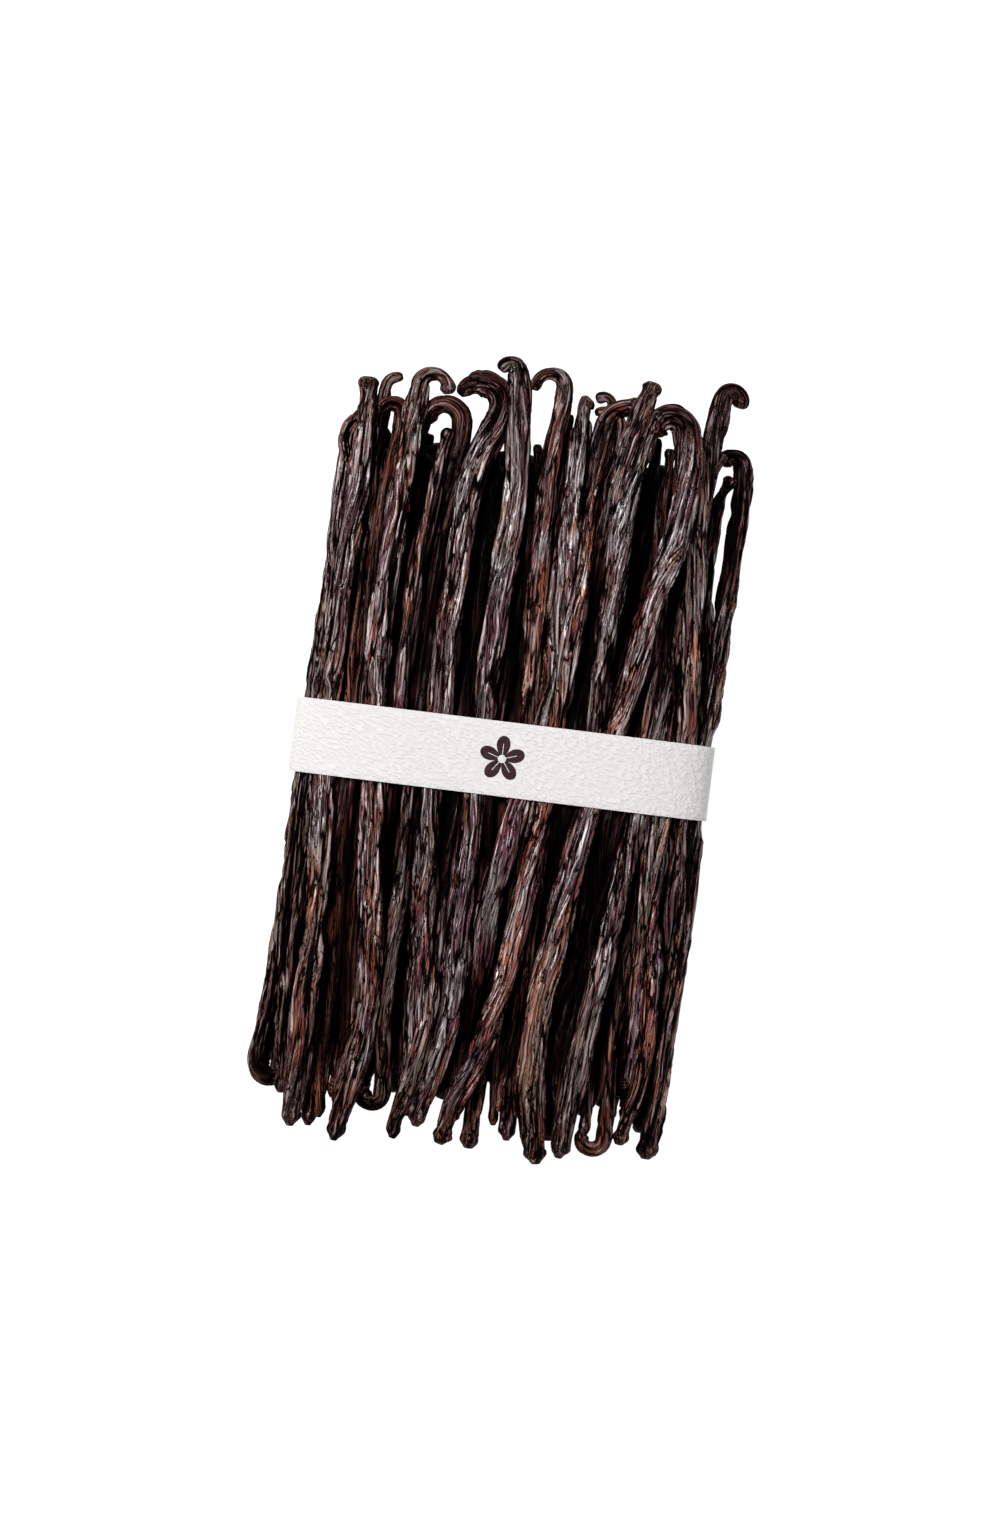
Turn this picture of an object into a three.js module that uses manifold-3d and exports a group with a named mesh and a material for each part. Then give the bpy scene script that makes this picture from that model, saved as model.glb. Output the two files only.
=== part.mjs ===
// A flat bundle of cured vanilla pods, held round the middle by a strip of textured paper.
// It lies on its broad side: X runs along the paper band, Y along the pods towards their hooked heads,
// and Z is up from the surface it rests on. Lengths are in millimetres.
import * as THREE from 'three';
import { mergeVertices } from 'three/addons/utils/BufferGeometryUtils.js';
import Module from 'manifold-3d';

// Driving dimensions
const bundleHalfWide = 44.2; // at the band, out to the pods
const bundleHalfDeep = 15;
const squareness = 3.2; // exponent of the rounded, flattened section: 2 is an ellipse
const waistDip = 2.1; // how far the band presses the broad sides in
const waistReach = 12; // how far along the pods that pressing fades out
const paperThick = 0.4;
const bandWide = 15.8;
const bandOverlap = 14; // the strip's glued ends, one over the other on the underside
const clearance = 0.3; // between the paper and the pods
const stationPitch = 30; // the across values of a pod lie this far apart, from y = 60 down to y = -60
const podFlatness = 0.8; // thickness of a pod over its width
const upperPodSides = 6;
const lowerPodSides = 5;
const slimPodSides = 4; // for the slim pods in the gaps of the upper layer
const slimPod = 4.3; // the width under which a pod is a slim one
const floorSink = 0.6; // the lowest pods are pressed flat by this much
const core = { inset: 3.4, ends: [60, -61], rings: 3, sides: 20, taper: 0.12, taperReach: 0.14 };
const podEnds = {
  headNeck: 0.5, // a neck's share of the pod's width, and how far it reaches
  headReach: 24,
  tailNeck: 0.52,
  tailReach: 22,
  flare: 0.28,
  knob: 1.7,
  rounding: 0.75,
  tip: 1.4,
  arcStep: 45, // degrees of a hook's arc between two points of its centreline
};
const lowerPods = {
  count: 14,
  out: 38.5,
  drift: 2.4,
  wide: 5,
  head: 60,
  headSpread: 5,
  hook: 2.2,
  hookTurn: 320,
  leastTurn: 60,
  tail: 70,
  tailSpread: 6,
};
const flankPods = { levels: [-4, 1.5], out: 2.6, lean: 2, wide: 4.8, head: 56, tail: 70, spread: 5, standOut: 2 };
const innerPods = {
  columns: 7,
  rows: 3,
  pitch: 11,
  layer: 6.2,
  half: 1.9,
  taper: 0.62,
  from: 56,
  head: 60,
  tail: 64,
  spread: 7,
  stagger: 4,
};
const longGap = [7, 25]; // a gap between two points of a centreline this long has one more ring

// The pods that show from above, from left to right: the upper layer, then the ones in its gaps.
// across: x at the five stations; head and tail: x and y where the end's bend starts, its radius and
// its turn in degrees, towards +X where positive; lift: height above the upper layer at the stations.
const shownPods = [
  { across: [-40.4, -40.5, -41, -41.4, -42.8], wide: 4.7, lift: -0.8,
    head: [-41, 63, 5, 70], tail: [-43.3, -69.8, 2.8, 150] },
  { across: [-37.2, -38, -37.2, -35.5, -34.9], wide: 5.4, lift: 0.5,
    head: [-37.7, 75.4, 0, 0], tail: [-35.1, -80.3, 0, 0] },
  { across: [-27.6, -28.7, -26.8, -24.4, -22.3], wide: 5.5, lift: 0.5,
    head: [-26.8, 75.8, 3, 165], tail: [-25.3, -82, 0, 0] },
  { across: [-13.2, -14.2, -14.1, -13.3, -10.9], wide: 5.8, lift: 0,
    head: [-9.2, 72.2, 4.6, -165], tail: [-10.6, -75, 0, 0] },
  { across: [-4.1, -4.8, -5.4, -4.7, -5.5], wide: 5.7, lift: 0.2,
    head: [-6.2, 81.4, 1.8, -140], tail: [-8.4, -77, 0, 0] },
  { across: [2.7, 3.1, 4.4, 4.3, 3.4], wide: 4, lift: [0, -0.3, -2, -4, -4],
    head: [3.9, 78.5, 3.2, -175], tail: [3, -80.5, 0, 0] },
  { across: [8.3, 7.7, 6.1, 1.3, -0.8], wide: 4.8, lift: [-0.5, 0, 0.3, 0, -4.5],
    head: [8.2, 75.4, 1.6, 40], tail: [-3.8, -71, 0, 0] },
  { across: [11.9, 11.3, 10, 8, 2.8], wide: 5.2, lift: [-2, 0, -0.5, -0.3, 0.8],
    head: [13.3, 71.6, 5.5, 85], tail: [-2.9, -80, 0, 0] },
  { across: [19.8, 18.7, 18.8, 19.6, 18.3], wide: 5.2, lift: [0.6, 0, -3, -3.5, -4],
    head: [23.4, 74.5, 3, 15], tail: [19.3, -77, 0, 0] },
  { across: [31.7, 26.4, 21.2, 16.6, 13.4], wide: 6.2, lift: [1.4, 1.2, 1, 0.8, 0.6],
    head: [30.4, 72.6, 3.5, -165], tail: [17.1, -81.8, 0, 0] },
  { across: [33.9, 36.7, 38.2, 38.6, 38.4], wide: 5.2, lift: [-0.5, 0, 0, -2.5, -3.5],
    head: [33.2, 70, 3, -60], tail: [37, -71, 0, 0] },
  { across: [35.1, 32.8, 30, 27.6, 23.9], wide: 5.1, lift: [-2.5, -4.5, -2, 0, 0.3],
    head: [37.4, 81.7, 1.8, 185], tail: [22.1, -80, 0, 0] },
  { across: [43.4, 42.9, 42.3, 42.2, 41.6], wide: 4.5, lift: 0,
    head: [43.1, 67.8, 2.1, -140], tail: [40.6, -78.5, 0, 0] },
  { across: [39.2, 37.3, 36, 35.6, 37], wide: 4.3, lift: [-4, -4.5, -3, -0.3, 0],
    head: [40.6, 63.5, 0, 0], tail: [34.6, -76, 0, 0] },
  { across: [17, 14.3, 13.5, 12.3, 11], wide: 4.6, lift: [0.4, -5, -5, -5, -4.5],
    head: [21.9, 81.6, 0, 0], tail: [10.7, -78, 0, 0] },
  { across: [-34.4, -34.2, -33.4, -32.6, -31.8], wide: 3.6, lift: -2.6,
    head: [-33.6, 75.2, 2.4, 70], tail: [-31.4, -80, 0, 0] },
  { across: [-30.6, -32, -31.2, -30.5, -29.3], wide: 3.8, lift: -3,
    head: [-29.8, 69.5, 2.2, -150], tail: [-29.4, -78, 0, 0] },
  { across: [-20.4, -22.8, -22.9, -21.8, -21], wide: 4.2, lift: [-1.2, -1.5, -3, -5, -5],
    head: [-16.9, 69, 3.7, -175], tail: [-20.5, -72, 0, 0] },
  { across: [-18.9, -19.2, -18.5, -18, -17.8], wide: 4.2, lift: [-3.5, -3.5, -2.5, -1.5, -1.5],
    head: [-16.2, 68, 0, 0], tail: [-16.6, -73.2, 1.9, -170] },
  { across: [-9.4, -8.6, -8.8, -9, -8.9], wide: 4, lift: [-4.5, -3.5, -3.5, -3, 0.8],
    head: [-9.5, 70, 0, 0], tail: [-12.9, -80, 0, 0] },
  { across: [0, -0.9, -1.6, -1.2, -1], wide: 3.4, lift: -3.5,
    head: [-0.5, 65.5, 0, 0], tail: [-1.8, -76, 0, 0] },
  { across: [5.3, 5.3, 5.5, 6, 6.5], wide: 3.2, lift: -2.8,
    head: [5.6, 72.5, 0, 0], tail: [7.4, -75, 0, 0] },
  { across: [15.3, 13, 10.5, 10.2, 9], wide: 4, lift: [-2.5, -3.5, -3, -2.2, -3],
    head: [16, 72, 3.2, -110], tail: [8.2, -72, 0, 0] },
  { across: [15.5, 16, 15.5, 15.5, 16], wide: 3.8, lift: [-3, -4.5, -5, -5, -4],
    head: [14, 77, 1.6, -110], tail: [14.6, -76, 0, 0] },
  { across: [24, 23.4, 23, 23.5, 24], wide: 4, lift: [-4.5, -5, -5, -4.5, -2.5],
    head: [24.5, 70, 0, 0], tail: [24.8, -74, 0, 0] },
  { across: [27, 29.6, 28, 24, 21.2], wide: 4, lift: [-3, -3.5, -4, -5, -4],
    head: [27.3, 68, 0, 0], tail: [20.9, -75, 0, 0] },
  { across: [30.5, 31.5, 31.8, 31.2, 30.3], wide: 4, lift: [-5, -5, -4.5, -4, -2.5],
    head: [29.6, 71, 0, 0], tail: [30.6, -77, 2.5, -165] },
  { across: [36.3, 34.4, 32.9, 33.4, 34.1], wide: 3.8, lift: [-3, -5, -3, -0.8, -0.8],
    head: [38.3, 68.5, 0, 0], tail: [34, -64, 0, 0] },
  { across: [-24.8, -25, -26, -27.3, -26], wide: 3.8, lift: [-4, -5, -5, -4, -3.5],
    head: [-24.6, 68, 0, 0], tail: [-26.8, -73.5, 0, 0] },
  { across: [-38.8, -39.4, -39.3, -38.6, -39.2], wide: 3.6, lift: -2.8,
    head: [-38.6, 70, 0, 0], tail: [-38.2, -74, 0, 0] },
  { across: [41, 40.5, 40, 40.3, 39.5], wide: 3.8, lift: -3.5,
    head: [40.8, 66, 0, 0], tail: [38.5, -73, 0, 0] },
];

const wasm = await Module();
wasm.setup();

// Helpers
const lerp = THREE.MathUtils.lerp;
const smooth = (value) => THREE.MathUtils.smoothstep(value, 0, 1);
const scatter = (seed) => {
  const wave = Math.sin(seed * 12.9898) * 43758.5453;
  return wave - Math.floor(wave);
};
const waist = (y) => Math.exp(-((y / waistReach) ** 2));

// Half depth of the bundle's section at x, pressed in towards the band
function halfDeepAt(x, y) {
  const across = Math.min(Math.abs(x) / bundleHalfWide, 0.985);
  return (bundleHalfDeep - waistDip * waist(y)) * (1 - across ** squareness) ** (1 / squareness);
}

// Height of a pod's middle in the upper layer (side 1) or the lower one (side -1)
function levelAt(pod, x, y, lift) {
  const freeLift = lift * (1 - 0.6 * waist(y));
  const inset = (pod.wide * podFlatness) / 2;
  return bundleHalfDeep + pod.side * (halfDeepAt(x, y) - inset + freeLift);
}

// The points of one end beyond its last station: a straight run, then the hook's arc and its tip
function endPoints(from, [x, y, radius, turn], z) {
  const heading = Math.atan2(y - from.y, x - from.x);
  const towards = Math.sign(turn) * Math.sign(y); // clockwise for a head that turns to +X
  const steps = Math.max(1, Math.ceil(Math.abs(turn) / podEnds.arcStep));
  const points = [new THREE.Vector3(x, y, z)];
  let angle = heading;
  let at = points[0];
  for (let i = 0; i < steps && turn !== 0; i++) {
    const swing = (Math.abs(turn) / steps) * THREE.MathUtils.DEG2RAD;
    const chord = 2 * radius * Math.sin(swing / 2);
    angle -= towards * swing * 0.5;
    at = at.clone().add(new THREE.Vector3(Math.cos(angle) * chord, Math.sin(angle) * chord, 0));
    angle -= towards * swing * 0.5;
    points.push(at);
  }
  const tip = new THREE.Vector3(Math.cos(angle), Math.sin(angle), 0).multiplyScalar(podEnds.tip);
  points.push(at.clone().add(tip));
  return points;
}

// The centreline from the head's tip to the tail's tip
function podCurve(pod) {
  const stations = pod.across.map((x, i) => {
    const y = stationPitch * (2 - i);
    const lift = Array.isArray(pod.lift) ? pod.lift[i] : pod.lift;
    return new THREE.Vector3(x, y, levelAt(pod, x, y, lift));
  });
  const top = stations[0];
  const bottom = stations[stations.length - 1];
  const headPoints = endPoints(top, pod.head, top.z);
  const tailPoints = endPoints(bottom, pod.tail, bottom.z);
  const points = [...headPoints.reverse(), ...stations, ...tailPoints];
  return new THREE.CatmullRomCurve3(points, false, 'centripetal');
}

// Width at a distance from either end: a flared tip, a thin neck, then the full belly
function podWidth(pod, fromHead, fromTail) {
  const ends = podEnds;
  const headBelly = lerp(ends.headNeck, 1, smooth(fromHead / ends.headReach));
  const belly = headBelly * lerp(ends.tailNeck, 1, smooth(fromTail / ends.tailReach));
  const knobs = Math.exp(-((fromHead / ends.knob) ** 2)) + Math.exp(-((fromTail / ends.knob) ** 2));
  return pod.wide * (belly + ends.flare * knobs * (1 - 0.5 * belly));
}

// Where the rings of a pod lie along its centreline: one at each point, and one more in each middling gap
function ringStops(curve) {
  const points = curve.points;
  const stops = [0];
  for (let i = 1; i < points.length; i++) {
    const gap = points[i].distanceTo(points[i - 1]);
    if (gap > longGap[0] && gap < longGap[1]) stops.push((i - 0.5) / (points.length - 1));
    stops.push(i / (points.length - 1));
  }
  return stops;
}

// A pod: a closed cylinder whose rings are carried along the centreline
function podGeometry(pod, sides) {
  const curve = podCurve(pod);
  const stops = ringStops(curve);
  const rings = stops.length - 1;
  const places = stops.map((stop) => curve.getPoint(stop));
  const lengths = [0];
  for (let i = 1; i <= rings; i++) lengths.push(lengths[i - 1] + places[i].distanceTo(places[i - 1]));
  const total = lengths[rings];
  const frames = lengths.map((length, i) => {
    const along = curve.getTangent(stops[i]);
    const side = new THREE.Vector3(0, 0, 1).cross(along).normalize();
    const up = new THREE.Vector3().crossVectors(along, side);
    const half = podWidth(pod, length, total - length) / 2;
    const rounding = i === 0 || i === rings ? podEnds.rounding : 1;
    const flatness = lerp(1, podFlatness, smooth(Math.min(length, total - length) / 20));
    return { at: places[i], side, up, half: half * rounding, flatness };
  });
  const firstEdge = pod.side > 0 ? 0 : Math.PI; // an edge of the section faces out of the bundle
  const geometry = new THREE.CylinderGeometry(1, 1, 1, sides, rings, false, firstEdge);
  const position = geometry.getAttribute('position');
  for (let i = 0; i < position.count; i++) {
    const frame = frames[Math.round((0.5 - position.getY(i)) * rings)];
    const moved = frame.at
      .clone()
      .addScaledVector(frame.side, position.getX(i) * frame.half)
      .addScaledVector(frame.up, position.getZ(i) * frame.half * frame.flatness);
    position.setXYZ(i, moved.x, moved.y, moved.z);
  }
  return geometry;
}

// The bundle's rounded, flattened section with a named half width and half depth
function sectionPoint(angle, halfWide, halfDeep) {
  const bulge = 2 / squareness;
  const c = Math.cos(angle);
  const s = Math.sin(angle);
  return [halfWide * Math.sign(c) * Math.abs(c) ** bulge, halfDeep * Math.sign(s) * Math.abs(s) ** bulge];
}

// The packed inside of the bundle, which the outer pods are fused to
function coreGeometry() {
  const geometry = new THREE.CylinderGeometry(1, 1, 1, core.sides, core.rings);
  const position = geometry.getAttribute('position');
  for (let i = 0; i < position.count; i++) {
    const along = 0.5 - position.getY(i);
    const reach = Math.hypot(position.getX(i), position.getZ(i));
    const angle = Math.atan2(position.getZ(i), position.getX(i));
    const y = lerp(core.ends[0], core.ends[1], along);
    const nearEnd = smooth((Math.abs(along - 0.5) - 0.5) / core.taperReach + 1);
    const taper = reach * (1 - core.taper * nearEnd);
    const halfDeep = bundleHalfDeep - waistDip * waist(y) - core.inset;
    const [x, z] = sectionPoint(angle, bundleHalfWide - core.inset, halfDeep);
    position.setXYZ(i, x * taper, y, bundleHalfDeep + z * taper);
  }
  return geometry;
}

// The pods of the underside and the flanks, evenly spread with a little scatter
function hiddenSidePods() {
  const pods = [];
  const stations = [0, 1, 2, 3, 4];
  const low = lowerPods;
  for (let i = 0; i < low.count; i++) {
    const luck = (k) => scatter(i * 7 + k);
    const drift = (k) => low.drift * (luck(k) - 0.5);
    const x = lerp(-low.out, low.out, i / (low.count - 1));
    const turn = (luck(5) - 0.5) * low.hookTurn;
    pods.push({
      across: stations.map((k) => x + drift(k)),
      head: [x + drift(0), low.head + low.headSpread * luck(6), low.hook, Math.abs(turn) < low.leastTurn ? 0 : turn],
      tail: [x + drift(4), -low.tail - low.tailSpread * luck(4), 0, 0],
      wide: low.wide + luck(2),
      lift: 0,
      side: -1,
    });
  }
  for (const edge of [-1, 1]) {
    for (const [i, level] of flankPods.levels.entries()) {
      const luck = (k) => scatter(50 + edge * 9 + i * 5 + k);
      const x = edge * (bundleHalfWide - flankPods.out);
      const endX = x - edge * flankPods.lean;
      pods.push({
        across: stations.map((k) => x - edge * luck(k)),
        head: [endX, flankPods.head + flankPods.spread * luck(6), 0, 0],
        tail: [endX, -flankPods.tail - flankPods.spread * luck(7), 0, 0],
        wide: flankPods.wide,
        lift: level - halfDeepAt(x, stationPitch) + flankPods.standOut,
        side: 1,
      });
    }
  }
  return pods;
}

// The ends of the packed pods inside, which stand out of the core at both ends of the bundle
function innerEnd(column, row, end) {
  const inner = innerPods;
  const seed = 100 + column * inner.pitch + row * 37 + end * 5;
  const shift = (row % 2) * inner.stagger + 2 * scatter(seed);
  const x = (column - (inner.columns - 1) / 2) * inner.pitch + shift;
  const z = bundleHalfDeep + (row - 1) * inner.layer + scatter(seed + 1) - 0.5;
  const reach = (end > 0 ? inner.head : inner.tail) + inner.spread * scatter(seed + 2);
  const geometry = new THREE.CylinderGeometry(inner.half * inner.taper, inner.half, 1, slimPodSides, 1);
  geometry.scale(1, reach - inner.from, 1).translate(0, (reach + inner.from) / 2, 0);
  if (end < 0) geometry.rotateZ(Math.PI);
  return geometry.translate(x, 0, z);
}

// A closed solid for joining and cutting, from a geometry whose shared corners are merged
function solidOf(geometry) {
  const bare = geometry.clone();
  bare.deleteAttribute('normal');
  bare.deleteAttribute('uv');
  const merged = mergeVertices(bare, 1e-3);
  const mesh = new wasm.Mesh({
    numProp: 3,
    vertProperties: merged.getAttribute('position').array,
    triVerts: new Uint32Array(merged.index.array),
  });
  return new wasm.Manifold(mesh);
}

function geometryOf(solid) {
  const { numProp, vertProperties, triVerts } = solid.getMesh();
  const geometry = new THREE.BufferGeometry();
  const position = new Float32Array((vertProperties.length / numProp) * 3);
  for (let i = 0; i < position.length / 3; i++) {
    position.set(vertProperties.subarray(i * numProp, i * numProp + 3), i * 3);
  }
  geometry.setAttribute('position', new THREE.BufferAttribute(position, 3));
  geometry.setIndex(new THREE.BufferAttribute(triVerts, 1));
  geometry.computeVertexNormals();
  return geometry;
}

const sectionSteps = 44;
const bandHalfWide = bundleHalfWide + clearance;
const bandHalfDeep = bundleHalfDeep - waistDip + clearance;

// The outline of the band's section, grown outwards by a margin that may change round it
function bandOutline(marginAt) {
  const points = [];
  for (let i = 0; i < sectionSteps; i++) {
    const angle = (2 * Math.PI * i) / sectionSteps;
    const [x] = sectionPoint(angle, bandHalfWide, bandHalfDeep);
    const margin = marginAt(x, Math.sin(angle) < 0);
    const [outX, outZ] = sectionPoint(angle, bandHalfWide + margin, bandHalfDeep + margin);
    points.push(new THREE.Vector2(outX, bundleHalfDeep + outZ));
  }
  return points;
}

// A ring or plug of the band's section, as deep along Y as it is told
function bandGeometry(outer, inner, wide) {
  const shape = new THREE.Shape(outer);
  if (inner) shape.holes.push(new THREE.Path(inner));
  const geometry = new THREE.ExtrudeGeometry(shape, { depth: wide, bevelEnabled: false });
  geometry.translate(0, 0, -wide / 2);
  geometry.rotateX(Math.PI / 2); // the section's second axis becomes Z, and the extrusion runs along Y
  return geometry;
}

function paperBand() {
  const overlapped = (x, under) => (under && Math.abs(x) < bandOverlap / 2 ? 2 * paperThick : paperThick);
  return bandGeometry(bandOutline(overlapped), bandOutline(() => 0), bandWide);
}

function podBundle() {
  const upper = shownPods.map((pod) => ({ side: 1, ...pod }));
  let bundle = solidOf(coreGeometry());
  for (const pod of [...upper, ...hiddenSidePods()]) {
    const sides = pod.side < 0 ? lowerPodSides : upperPodSides;
    bundle = bundle.add(solidOf(podGeometry(pod, pod.wide < slimPod ? slimPodSides : sides)));
  }
  for (const end of [1, -1]) {
    for (let column = 0; column < innerPods.columns; column++) {
      for (let row = 0; row < innerPods.rows; row++) {
        if ((column + row) % 2 === 0) bundle = bundle.add(solidOf(innerEnd(column, row, end)));
      }
    }
  }
  // Pressed in under the band, so that the paper clears it all round
  const grown = 12; // further out than any pod
  const room = bandGeometry(
    bandOutline(() => grown),
    bandOutline(() => -clearance),
    bandWide + 2 * clearance,
  );
  bundle = bundle.subtract(solidOf(room));
  // Pressed flat on the surface it rests on
  const floorThick = 20;
  const floor = new THREE.BoxGeometry(200, 240, floorThick).translate(0, 0, floorSink - floorThick / 2);
  bundle = bundle.subtract(solidOf(floor));
  const bodies = bundle.decompose();
  return bodies.reduce((largest, body) => (body.volume() > largest.volume() ? body : largest));
}

const podSkin = new THREE.MeshStandardMaterial({ color: 0x2a1712, roughness: 0.42, metalness: 0 });
const paper = new THREE.MeshStandardMaterial({ color: 0xece9e6, roughness: 0.95, metalness: 0 });

const part = new THREE.Group();
const pods = new THREE.Mesh(geometryOf(podBundle()), podSkin);
pods.name = 'pods';
const band = new THREE.Mesh(paperBand(), paper);
band.name = 'band';
part.add(pods, band);

// The origin is under the middle of the whole bundle, on the surface it rests on
const box = new THREE.Box3().setFromObject(part);
const middle = box.getCenter(new THREE.Vector3());
for (const mesh of [pods, band]) mesh.geometry.translate(-middle.x, -middle.y, -box.min.z);

export default part;
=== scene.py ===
# Bundle of cured vanilla pods with a paper band: the looks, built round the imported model.
# X runs along the band, Y along the pods towards their heads, Z is up. Route tables are in millimetres.
import math

import bmesh
import bpy
import numpy as np
from mathutils import Matrix, Vector


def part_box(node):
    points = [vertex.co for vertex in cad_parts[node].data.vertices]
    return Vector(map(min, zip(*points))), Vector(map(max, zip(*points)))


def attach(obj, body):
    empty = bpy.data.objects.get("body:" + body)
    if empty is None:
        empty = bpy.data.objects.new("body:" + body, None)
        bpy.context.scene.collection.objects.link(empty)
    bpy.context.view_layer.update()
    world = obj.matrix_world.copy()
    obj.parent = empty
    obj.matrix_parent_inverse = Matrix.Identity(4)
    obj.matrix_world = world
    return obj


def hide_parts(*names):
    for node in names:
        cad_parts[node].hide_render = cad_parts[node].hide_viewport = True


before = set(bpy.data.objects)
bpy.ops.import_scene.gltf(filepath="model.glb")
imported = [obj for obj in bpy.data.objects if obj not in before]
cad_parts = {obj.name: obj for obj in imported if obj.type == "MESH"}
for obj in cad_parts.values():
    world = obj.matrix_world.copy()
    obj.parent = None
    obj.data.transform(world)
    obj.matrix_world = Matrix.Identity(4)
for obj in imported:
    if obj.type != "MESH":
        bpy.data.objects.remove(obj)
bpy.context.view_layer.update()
mm = 0.001

bundle = {
    "halfWide": 44.2,
    "halfDeep": 15,
    "squareness": 3.2,  # exponent of the section: 2 is an ellipse
    "waistDip": 2.1,  # how far the band presses the pods in
    "waistReach": 12,
    "podFlatness": 0.8,
    "floorSink": 0.6,
    "stationPitch": 30,
    "freeLiftAtBand": 0.4,  # the share of a pod's own lift that the band leaves it
    "widest": 0.985,
}
bandLow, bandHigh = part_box("band")
# the tables below have their zero in the middle of the band
tableOrigin = Vector(((bandLow.x + bandHigh.x) / 2, (bandLow.y + bandHigh.y) / 2, -bundle["floorSink"] * mm))


# Small helpers for modelling
def deselectAll():
    bpy.ops.object.select_all(action="DESELECT")


def pick(piece):
    deselectAll()
    piece.select_set(True)
    bpy.context.view_layer.objects.active = piece


def setMode(mode):
    bpy.ops.object.mode_set(mode=mode)


def selectMesh(action="SELECT"):
    bpy.ops.mesh.select_all(action=action)


def selectOnly(piece, kind, wanted):
    # the edges or the faces that are wanted, of a piece that is being edited
    selectMesh("DESELECT")
    cage = bmesh.from_edit_mesh(piece.data)
    for part in getattr(cage, kind):
        part.select = wanted(part)
    bmesh.update_edit_mesh(piece.data)


def finishWith(piece, kind, **settings):
    modifier = piece.modifiers.new(kind.lower(), kind)
    for name, value in settings.items():
        setattr(modifier, name, value)
    bpy.ops.object.modifier_apply(modifier=modifier.name)


def pointsOf(mesh):
    points = np.empty(len(mesh.vertices) * 3)
    mesh.vertices.foreach_get("co", points)
    return points.reshape(-1, 3)


def setPoints(mesh, points):
    mesh.vertices.foreach_set("co", points.ravel())
    mesh.update()


def smoothStep(value):
    value = min(max(value, 0), 1)
    return value * value * (3 - 2 * value)


def blendOf(start, end, share):
    return start + (end - start) * share


def scatter(seed):
    wave = math.sin(seed * 12.9898) * 43758.5453
    return wave - math.floor(wave)


# Node maths: a Wire is one output, and an expression on wires adds the Math nodes
class Wire:
    def __init__(self, kit, socket):
        self.kit = kit
        self.socket = socket

    def __add__(self, other):
        return self.kit.maths("ADD", self, other)

    def __radd__(self, other):
        return self.kit.maths("ADD", other, self)

    def __sub__(self, other):
        return self.kit.maths("SUBTRACT", self, other)

    def __rsub__(self, other):
        return self.kit.maths("SUBTRACT", other, self)

    def __mul__(self, other):
        return self.kit.maths("MULTIPLY", self, other)

    def __rmul__(self, other):
        return self.kit.maths("MULTIPLY", other, self)

    def __truediv__(self, other):
        return self.kit.maths("DIVIDE", self, other)

    def __pow__(self, other):
        return self.kit.maths("POWER", self, other)

    def __abs__(self):
        return self.kit.maths("ABSOLUTE", self)


class NodeKit:
    def __init__(self, tree):
        self.tree = tree

    def node(self, kind, settings=None, sockets=None):
        made = self.tree.nodes.new(kind)
        for name, value in (settings or {}).items():
            setattr(made, name, value)
        self.feed(made, sockets or {})
        return made

    def feed(self, made, sockets):
        for name, value in sockets.items():
            if isinstance(value, Wire):
                self.tree.links.new(value.socket, made.inputs[name])
            else:
                made.inputs[name].default_value = value

    def wire(self, kind, settings=None, sockets=None, output=0):
        return Wire(self, self.node(kind, settings, sockets).outputs[output])

    def maths(self, operation, *values):
        return self.wire("ShaderNodeMath", {"operation": operation}, dict(enumerate(values)))

    def vectors(self, operation, *values):
        return self.wire("ShaderNodeVectorMath", {"operation": operation}, dict(enumerate(values)))

    def ramp(self, value, low, high):
        sockets = {"Value": value, "From Min": low, "From Max": high}
        return self.wire("ShaderNodeMapRange", {"interpolation_type": "SMOOTHSTEP"}, sockets)

    def noise(self, vector, scale, detail, roughness=0.5):
        place = self.vectors("MULTIPLY", vector, scale)
        sockets = {"Vector": place, "Scale": 1.0, "Detail": detail, "Roughness": roughness}
        return self.wire("ShaderNodeTexNoise", None, sockets)

    def bump(self, height, strength, distance):
        sockets = {"Height": height, "Strength": strength, "Distance": distance}
        return self.wire("ShaderNodeBump", None, sockets)

    def drift(self, vector, detail):
        # a vector that wanders round zero
        made = self.node("ShaderNodeTexNoise", None, {"Vector": vector, "Scale": 1.0, "Detail": detail})
        return self.vectors("SUBTRACT", Wire(self, made.outputs["Color"]), (0.5, 0.5, 0.5))

    def scaled(self, vector, scale):
        made = self.node("ShaderNodeVectorMath", {"operation": "SCALE"}, {0: vector, "Scale": scale})
        return Wire(self, made.outputs[0])

    def turned(self, vector, axis, angle):
        sockets = {"Vector": vector, "Angle": angle}
        return self.wire("ShaderNodeVectorRotate", {"rotation_type": axis}, sockets)

    def mix(self, share, first, second):
        sockets = {0: share, 6: first, 7: second}
        return self.wire("ShaderNodeMix", {"data_type": "RGBA"}, sockets, output=2)

    def split(self, vector):
        made = self.node("ShaderNodeSeparateXYZ", None, {0: vector})
        return [Wire(self, made.outputs[i]) for i in range(3)]

    def join(self, x, y, z):
        return self.wire("ShaderNodeCombineXYZ", None, {0: x, 1: y, 2: z})


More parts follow.
